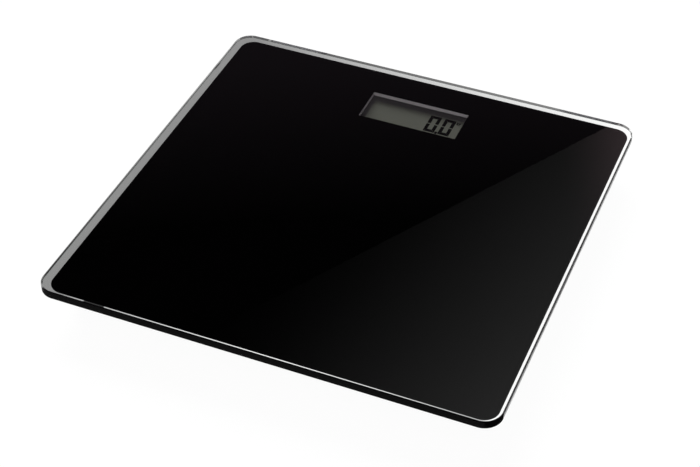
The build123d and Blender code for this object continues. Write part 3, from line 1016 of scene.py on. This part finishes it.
@dataclass
class Housing:
    """The display housing with its cover, board, coin cell, door and button."""

    frame: dict
    relief: float = 0.25 * MM
    line: float = 0.7 * MM
    panel: Point = (62.0 * MM, 26.0 * MM)
    panel_radius: float = 2.5 * MM
    door_ring_gap: float = 2.6 * MM
    button_ring_gap: float = 0.7 * MM
    mark: float = 2.2 * MM
    door_mark_inset: float = 4.4 * MM
    cover_mark_gap: float = 6.2 * MM

    def raised_lines(self, black: Material) -> None:
        """Raised lines on the cover: a bare panel and rings round the door and the button.

        Args:
            black: The cover's own plastic.
        """
        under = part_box("housing_cover")[0].z
        top, foot = under, under - self.relief
        mesh = bmesh.new()
        centre = plan("display_gasket")[1]
        inner = (self.panel[0] - 2 * self.line, self.panel[1] - 2 * self.line)
        outside, inside = (self.panel, self.panel_radius), (inner, self.panel_radius - self.line)
        edges = ((outside, top), (outside, foot), (inside, foot), (inside, top))
        add_loft(mesh, [rounded_outline(*shape, height, centre) for shape, height in edges], closed=False)
        for node, gap in (("battery_door", self.door_ring_gap), ("unit_button", self.button_ring_gap)):
            size, middle = plan(node)
            near = size[0] / 2 + gap
            far = near + self.line
            edges = ((near, top), (near, foot), (far, foot), (far, top))
            add_loft(mesh, [circle(radius, height, middle) for radius, height in edges], closed=False)
        seat(piece_from("cover_raised_lines", mesh, [black]), PLATFORM, "housing_plastic")

    def pointers(self, black: Material, door: Material) -> None:
        """Raised pointers that show how far the door is turned.

        Args:
            black: The cover's plastic.
            door: The door's plastic.
        """
        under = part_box("housing_cover")[0].z
        size, centre = plan("battery_door")
        reach = size[1] / 2
        spots = (
            ("door_pointer", reach - self.door_mark_inset, 1.0, door, "battery_door", "door_plastic"),
            ("cover_pointer", reach + self.cover_mark_gap, -1.0, black, PLATFORM, "housing_plastic"),
        )
        for name, distance, way, finish, body, slot in spots:
            tip = [(-self.mark / 2, 0.0), (self.mark / 2, 0.0), (0.0, way * self.mark)]
            mesh = bmesh.new()
            outline = [(centre[0] + x, centre[1] - distance - y) for x, y in tip]
            add_slab(mesh, outline, under - self.relief, under)
            seat(piece_from(name, mesh, [finish]), body, slot)

    def build(self) -> None:
        """Dresses the solids and adds the raised marks."""
        black, door = BLACK_PLASTIC.material(), DOOR_PLASTIC.material()
        dress(["display_housing", "housing_cover", "unit_switch"], self.frame, black)
        dress(["battery_door"], self.frame, door)
        inside = {
            GREY_PLASTIC: ["unit_button"],
            IVORY_PLASTIC: ["switch_plunger"],
            SCREW_STEEL: ["cover_screws", "board_screws", "retainer_screws"],
            CONTACT_METAL: ["battery_contact_negative", "battery_contact_positive"],
            CELL_STEEL: ["coin_cell"],
            BOARD_GREEN: ["main_board"],
            EPOXY: ["controller_blob"],
            CHIP_CERAMIC: ["board_parts"],
            TAPE_FOAM: ["housing_tape", "bracket_tapes"],
        }
        for finish, names in inside.items():
            dress(names, self.frame, finish.material())
        self.raised_lines(black)
        self.pointers(black, door)


@dataclass
class WeighingFeet:
    """The four feet with their brackets, load cells, leads and raceways."""

    frame: dict
    rib_pitch: float = 1.6 * MM
    rib_depth: float = 0.45 * MM
    # Where a rib's face starts and ends and its groove starts and ends, in shares of the pitch
    rib_shares: tuple[float, float, float, float] = (0.08, 0.52, 0.66, 0.94)
    rim: float = 0.5 * MM
    pad_steps: int = 72
    pad_crease: float = 30.0

    def pad_profile(self, radius: float, low: float, high: float) -> list[Point]:
        """Half section of a ribbed pad, from its lower middle to its upper rim.

        Args:
            radius: Radius of the pad.
            low: Height of its ribs.
            high: Height of its back.

        Returns:
            Pairs of radius and height.
        """
        groove = low + self.rib_depth
        heights = (low, low, groove, groove)
        ribs = int((radius - self.rim) / self.rib_pitch)
        profile = [
            ((rib + share) * self.rib_pitch, height)
            for rib in range(ribs)
            for share, height in zip(self.rib_shares, heights)
        ]
        profile += [(ribs * self.rib_pitch, low), (radius - self.rim, low), (radius, low + self.rim)]
        return profile + [(radius, high)]

    def pad(self, corner: Corner, rubber: Material) -> None:
        """A ribbed rubber pad in place of the plain one.

        Args:
            corner: The foot that it is under.
            rubber: Its finish.
        """
        node = f"foot_pad_{corner.value}"
        low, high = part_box(node)
        size, middle = plan(node)
        profile = self.pad_profile(size[0] / 2, low.z, high.z)
        mesh = bmesh.new()
        add_loft(mesh, [circle(radius, height, middle, self.pad_steps) for radius, height in profile])
        pad = piece_from(f"ribbed_pad_{corner.value}", mesh, [rubber], self.pad_crease)
        seat(pad, f"foot_{corner.value}", "foot_rubber", node)

    def build(self) -> None:
        """Dresses the solids and adds the ribbed pads."""
        finishes = {
            BLACK_PLASTIC: ("sensor_bracket", "lead_raceway"),
            DOOR_PLASTIC: ("foot_retainer",),
            FOOT_PLASTIC: ("foot",),
            SENSOR_STEEL: ("load_cell",),
            SLEEVE: ("sensor_lead",),
        }
        for finish, stems in finishes.items():
            names = [f"{stem}_{corner.value}" for stem in stems for corner in Corner]
            dress(names, self.frame, finish.material())
        dress(["strain_gauges"], self.frame, SILICONE.material())
        rubber = FOOT_RUBBER.material()
        for corner in Corner:
            self.pad(corner, rubber)


# Studio


def sheet(name: str, corners: Sequence[Sequence[float]], finish: Material) -> bpy.types.Object:
    """Makes a flat sheet with four corners for the studio.

    Args:
        name: Name of the sheet.
        corners: Its corners, in order.
        finish: Its material.

    Returns:
        The new object.
    """
    data = bpy.data.meshes.new(name)
    data.from_pydata(corners, [], [range(len(corners))])
    data.materials.append(finish)
    return linked(name, data)


@dataclass(frozen=True)
class Lamp:
    """A rectangular lamp over or under the scale, turned to the origin."""

    name: str
    place: tuple[float, float, float]
    size: Point
    power: float
    seen_in_gloss: bool = False

    def build(self) -> None:
        """Adds the lamp."""
        data = bpy.data.lights.new(self.name, "AREA")
        data.shape = "RECTANGLE"
        data.size, data.size_y = self.size
        data.energy = self.power
        lamp = linked(self.name, data)
        lamp.location = self.place
        lamp.rotation_euler = (-Vector(self.place)).to_track_quat("-Z", "Y").to_euler()
        lamp.visible_camera = False
        lamp.visible_glossy = self.seen_in_gloss
        lamp.visible_transmission = False


LAMPS = (
    Lamp("back_lamp", (-1.05, 1.95, 0.74), (1.7, 0.8), 200.0),
    Lamp("front_fill", (0.7, -2.2, 0.85), (1.4, 0.8), 35.0),
    Lamp("top_lamp", (0.5, -0.3, 2.4), (1.8, 1.8), 8.0),
    Lamp("under_lamp", (-1.5, 0.3, -1.15), (1.2, 1.2), 75.0, seen_in_gloss=True),
)


@dataclass
class Room:
    """The world: white to the camera and straight through glass, a dim room in reflections.

    The wall and the horizon are each given by the two heights that they fade between and their strength.
    """

    ambient: float = 0.20
    colour: Colour = (1.0, 0.80, 0.97)
    wall: tuple[float, float, float] = (0.575, 0.650, 0.062)
    horizon: tuple[float, float, float] = (0.05, 0.42, 0.80)
    # Bounces, counted between whole numbers
    first_bounce: float = 0.5
    second_bounce: float = 1.5

    def build(self) -> None:
        """Makes the world."""
        world = bpy.data.worlds.new("studio")
        bpy.context.scene.world = world
        world.use_nodes = True
        net = Network(world.node_tree)

        def light(colour: Colour, strength: Socket | float) -> Socket:
            """Adds a background of one colour."""
            return net.node("Background", {"Color": colour, "Strength": strength}).outputs[0]

        path = net.node("LightPath").outputs
        height = net.maths("ABSOLUTE", net.split(net.node("TexCoord").outputs["Generated"])["Z"])
        wall, horizon = (
            net.ranged(height, low, high, strength, 0.0) for low, high, strength in (self.wall, self.horizon)
        )
        passed = net.maths("ADD", path["Diffuse Depth"], path["Transmission Depth"])
        direct = net.maths("LESS_THAN", passed, self.first_bounce)
        bent = net.maths("SUBTRACT", path["Ray Depth"], path["Transmission Depth"])
        straight = net.product(path["Is Transmission Ray"], net.maths("LESS_THAN", bent, self.second_bounce))
        walls = light(self.colour, wall)
        room = net.node("AddShader", {0: walls, 1: light(WHITE, net.product(horizon, direct))}).outputs[0]
        white = light(WHITE, 1.0)
        last = light(WHITE, self.ambient)
        rays = ((path["Is Glossy Ray"], room), (straight, white), (path["Is Camera Ray"], white))
        for share, shown in rays:
            last = net.layered(share, last, shown)
        net.put(last, net.tree.nodes["World Output"].inputs["Surface"])


@dataclass
class Floor:
    """White paper that keeps a light shadow, is clear from below, shows painted light and shade in the
    glass's clear margins, and a painted reflection in its outer faces.

    Ramps and bands lie across the floor, along X, or along it, along Y.
    """

    size: float = 12.0
    colour: Colour = (0.96, 0.96, 0.96)
    roughness: float = 0.9
    specular: float = 0.1
    # Share of even white, which grows away from the scale and is less under it
    white_share: float = 0.955
    clean: Ramp = (0.22, 0.50)
    under: Ramp = (0.085, 0.132)
    under_shade: float = 0.40
    # Painted light that the clear margins show: paler to the right, with painted shade under the back
    graded: Point = (0.264, 1.17)
    graded_half: float = 0.15
    shade_along: Band = (0.03, 0.09, 0.146, 0.150)
    shade_across: Band = (-0.1435, -0.1415, 0.1355, 0.1410)
    shade_depth: float = 0.78
    # Painted light in the line along the front, with a painted shadow of the front left foot near its left
    # end
    front_reach: Ramp = (-0.118, -0.126)
    front_across: Band = (-0.143, -0.133, 0.134, 0.140)
    front_middle: float = 0.005
    front_light: Point = (1.12, 0.51)
    foot_shadow_across: Band = (-0.1278, -0.1268, -0.1132, -0.1122)
    foot_shadow_depth: float = 0.95
    # Painted light in the line along the left
    side_across: Band = (-0.1425, -0.1410, -0.1365, -0.1350)
    side_along: Band = (-0.126, -0.120, 0.152, 0.157)
    side_reach: Ramp = (-0.115, 0.125)
    side_light: Point = (0.02, 0.42)
    # Painted shade for the line round the rear left corner, thinner where the left line shows it too
    corner_across: Band = (-0.1530, -0.1515, -0.1335, -0.1325)
    corner_along: Band = (0.1210, 0.1220, 0.1295, 0.1305)
    corner_light: float = 0.06
    shared_across: Band = (-0.1400, -0.1394, -0.1378, -0.1372)
    shared_cut: float = 0.6
    # Painted reflection that the outer faces mirror: dim near the scale, with a painted bright strip beside
    # the right face
    gloss_side: Ramp = (0.175, 0.200)
    gloss_light: Point = (0.08, 0.60)
    strip_near: Ramp = (0.1485, 0.1525)
    strip_far: Ramp = (0.1543, 0.1549)
    strip_front: Ramp = (-0.135, -0.125)
    strip_half: float = 0.07
    strip_bend: float = 0.48 * MM
    strip_lift: Point = (0.18, -0.07)

    def seen_through(self, paint: Paint, across: Socket, along: Socket) -> Socket:
        """Painted light and shade of the floor, as the clear margins of the glass show it.

        Args:
            paint: The floor's paint.
            across: Place along X.
            along: Place along Y.

        Returns:
            The strength of the light.
        """

        def patch(across_band: Band, along_band: Band) -> Socket:
            """Adds a mask over a patch of the floor."""
            return paint.product(paint.banded(across, across_band), paint.banded(along, along_band))

        # Painted light, paler to the right.
        paler = paint.ranged(across, -self.graded_half, self.graded_half, *self.graded)
        # Painted shade under the back of the plate.
        shade = patch(self.shade_across, self.shade_along)
        seen = paint.product(paler, paint.rest(shade, self.shade_depth))
        front = paint.product(paint.ranged(along, *self.front_reach), paint.banded(across, self.front_across))
        aside = paint.maths("ABSOLUTE", paint.maths("SUBTRACT", across, self.front_middle))
        beam = paint.ranged(aside, 0.0, self.graded_half, *self.front_light)
        # Painted shadow of the front left foot, over a short band of the front line.
        beam = paint.product(beam, paint.rest(paint.banded(across, self.foot_shadow_across), self.foot_shadow_depth))
        seen = paint.towards(seen, beam, front)
        # Painted light for the left line, darker towards the front.
        side = patch(self.side_across, self.side_along)
        seen = paint.towards(seen, paint.ranged(along, *self.side_reach, *self.side_light), side)
        # Painted shade patch for the rear left corner line.
        corner = patch(self.corner_across, self.corner_along)
        corner = paint.product(corner, paint.rest(paint.banded(across, self.shared_across), self.shared_cut))
        return paint.towards(seen, self.corner_light, corner)

    def mirrored(self, paint: Paint, across: Socket, along: Socket) -> Socket:
        """Painted light of the floor, as the plate's outer faces mirror it.

        Args:
            paint: The floor's paint.
            across: Place along X.
            along: Place along Y.

        Returns:
            The strength of the light.
        """
        apart = paint.maths("ABSOLUTE", along)
        bend = paint.ranged(apart, 0.0, self.strip_half, self.strip_bend, 0.0)
        far = paint.ranged(paint.maths("ADD", across, bend), *self.strip_far, 1.0, 0.0)
        beyond = paint.ranged(across, *self.strip_near)
        # Painted reflection: a bright strip mirrored in the right face.
        strip = paint.product(beyond, far, paint.ranged(along, *self.strip_front))
        lift = paint.product(beyond, paint.ranged(apart, 0.0, self.strip_half, *self.strip_lift))
        # Painted reflection: dim near the scale, brighter further out.
        dim = paint.ranged(across, *self.gloss_side, *self.gloss_light)
        return paint.maths("ADD", paint.maths("ADD", strip, dim), lift)

    def material(self) -> Material:
        """Builds the floor's material.

        Returns:
            The new material.
        """
        paint = Paint("studio_floor")
        paint.set(Base_Color=self.colour, Roughness=self.roughness, Specular_IOR_Level=self.specular)
        path = paint.node("LightPath").outputs
        through, camera = path["Is Transmission Ray"], path["Is Camera Ray"]
        gloss = paint.product(path["Is Glossy Ray"], paint.rest(through))
        place = paint.place()
        axes = paint.split(place)
        across, along = axes["X"], axes["Y"]
        # Through the glass the floor shows painted light and shade; in the outer faces, a painted reflection.
        light = paint.product(through, self.seen_through(paint, across, along))
        light = paint.maths("ADD", light, paint.product(gloss, self.mirrored(paint, across, along)))
        white = paint.node("Emission", {"Strength": paint.maths("ADD", light, camera)}).outputs[0]
        reach = paint.node("VectorMath", {0: place}, operation="LENGTH").outputs["Value"]
        share = paint.ranged(reach, *self.clean, self.white_share, 1.0)
        beside = paint.maths("MAXIMUM", paint.maths("ABSOLUTE", across), paint.maths("ABSOLUTE", along))
        under = paint.product(camera, paint.ranged(beside, *self.under, self.under_shade, 0.0))
        share = paint.product(paint.maths("MAXIMUM", camera, through), paint.maths("SUBTRACT", share, under))
        paper = paint.layered(paint.maths("MAXIMUM", gloss, share), paint.shader.outputs[0], white)
        back = paint.node("NewGeometry").outputs["Backfacing"]
        below = paint.maths("MAXIMUM", back, path["Is Shadow Ray"])
        return paint.surfaced(paint.layered(below, paper, paint.node("BsdfTransparent").outputs[0]))

    def build(self) -> None:
        """Lays the floor."""
        half = self.size / 2
        corners = [(x * half, y * half, 0.0) for x, y in ((-1, -1), (1, -1), (1, 1), (-1, 1))]
        floor = sheet("floor", corners, self.material())
        floor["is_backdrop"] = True


@dataclass
class Card:
    """A dim card behind the scale, with a slanted edge that shows in the glass and a warm glow low down."""

    top: float
    depth: float = 2.0
    low: Point = (0.083, 1.10)
    high: Point = (-1.337, 2.50)
    width: float = 1.4
    middle: float = 1.40
    light: Colour = (0.40, 0.40, 0.40)
    light_tilt: float = 0.569
    light_fade: Ramp = (-0.684, 0.177)
    glow: Colour = (0.415, 0.273, 0.302)
    glow_tilt: float = -0.196
    glow_fade: Ramp = (-0.373, -0.173)
    falloff: float = 2.0

    def material(self) -> Material:
        """Builds a soft light that fades towards the card's left side, and the glow.

        Returns:
            The new material.
        """
        paint = Paint("dim_card")
        paint.tree.nodes.remove(paint.shader)
        place = paint.place()
        lights = []
        for colour, tilt, fade in (
            (self.light, self.light_tilt, self.light_fade),
            (self.glow, self.glow_tilt, self.glow_fade),
        ):
            along = paint.node("VectorMath", {0: place, 1: (1.0, 0.0, tilt)}, operation="DOT_PRODUCT")
            start = tilt * (self.top + self.middle)
            share = paint.ranged(along.outputs["Value"], fade[0] + start, fade[1] + start)
            strength = paint.maths("POWER", share, self.falloff)
            lights.append(paint.node("Emission", {"Color": colour, "Strength": strength}).outputs[0])
        return paint.surfaced(paint.node("AddShader", dict(enumerate(lights))).outputs[0])

    def build(self) -> None:
        """Hangs the card, to be seen in gloss alone."""
        low, high = Vector(self.low), Vector(self.high)
        along = high - low
        across = Vector((-along.y, along.x)).normalized() * -self.width
        outline = (low, high, high + across, low + across)
        corners = [(point.x, self.depth, self.top + point.y) for point in outline]
        card = sheet("card", corners, self.material())
        card.visible_camera = False
        card.visible_diffuse = False
        card.visible_shadow = False
        card.visible_transmission = False
        card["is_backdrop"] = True


@dataclass
class Viewpoint:
    """The camera at the photograph's viewing angle, with plain colours."""

    top: float
    azimuth: float = 22.3637
    elevation: float = 41.0689
    roll: float = 0.1675
    lens: float = 84.687
    sensor: float = 36.0
    aim: Point = (10.428 * MM, -29.070 * MM)
    distance: float = 1.049435

    def build(self) -> None:
        """Adds the camera and looks through it."""
        azimuth, elevation = math.radians(self.azimuth), math.radians(self.elevation)
        flat = math.cos(elevation)
        back = Vector((math.sin(azimuth) * flat, -math.cos(azimuth) * flat, math.sin(elevation)))
        right = Vector((math.cos(azimuth), math.sin(azimuth), 0.0))
        turn = Matrix((right, back.cross(right), back)).transposed().to_4x4()
        data = bpy.data.cameras.new("camera")
        data.lens = self.lens
        data.sensor_width = self.sensor
        camera = linked("camera", data)
        place = Vector((*self.aim, self.top)) + back * self.distance
        roll = Matrix.Rotation(math.radians(self.roll), 4, "Z")
        camera.matrix_world = Matrix.Translation(place) @ turn @ roll
        bpy.context.scene.camera = camera
        bpy.context.scene.view_settings.view_transform = "Standard"


def main() -> None:
    """Builds every sub-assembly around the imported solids, then the studio."""
    logging.basicConfig(level=logging.INFO, format="%(message)s")
    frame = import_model()
    cad_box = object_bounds()
    platform = Platform()
    top = cad_box[1].z
    for part in (platform, Display(frame, platform, Digits()), Housing(frame), WeighingFeet(frame)):
        part.build()
    for part in (Room(), Floor(), Card(top), *LAMPS, Viewpoint(top)):
        part.build()


if __name__ == "__main__":
    main()
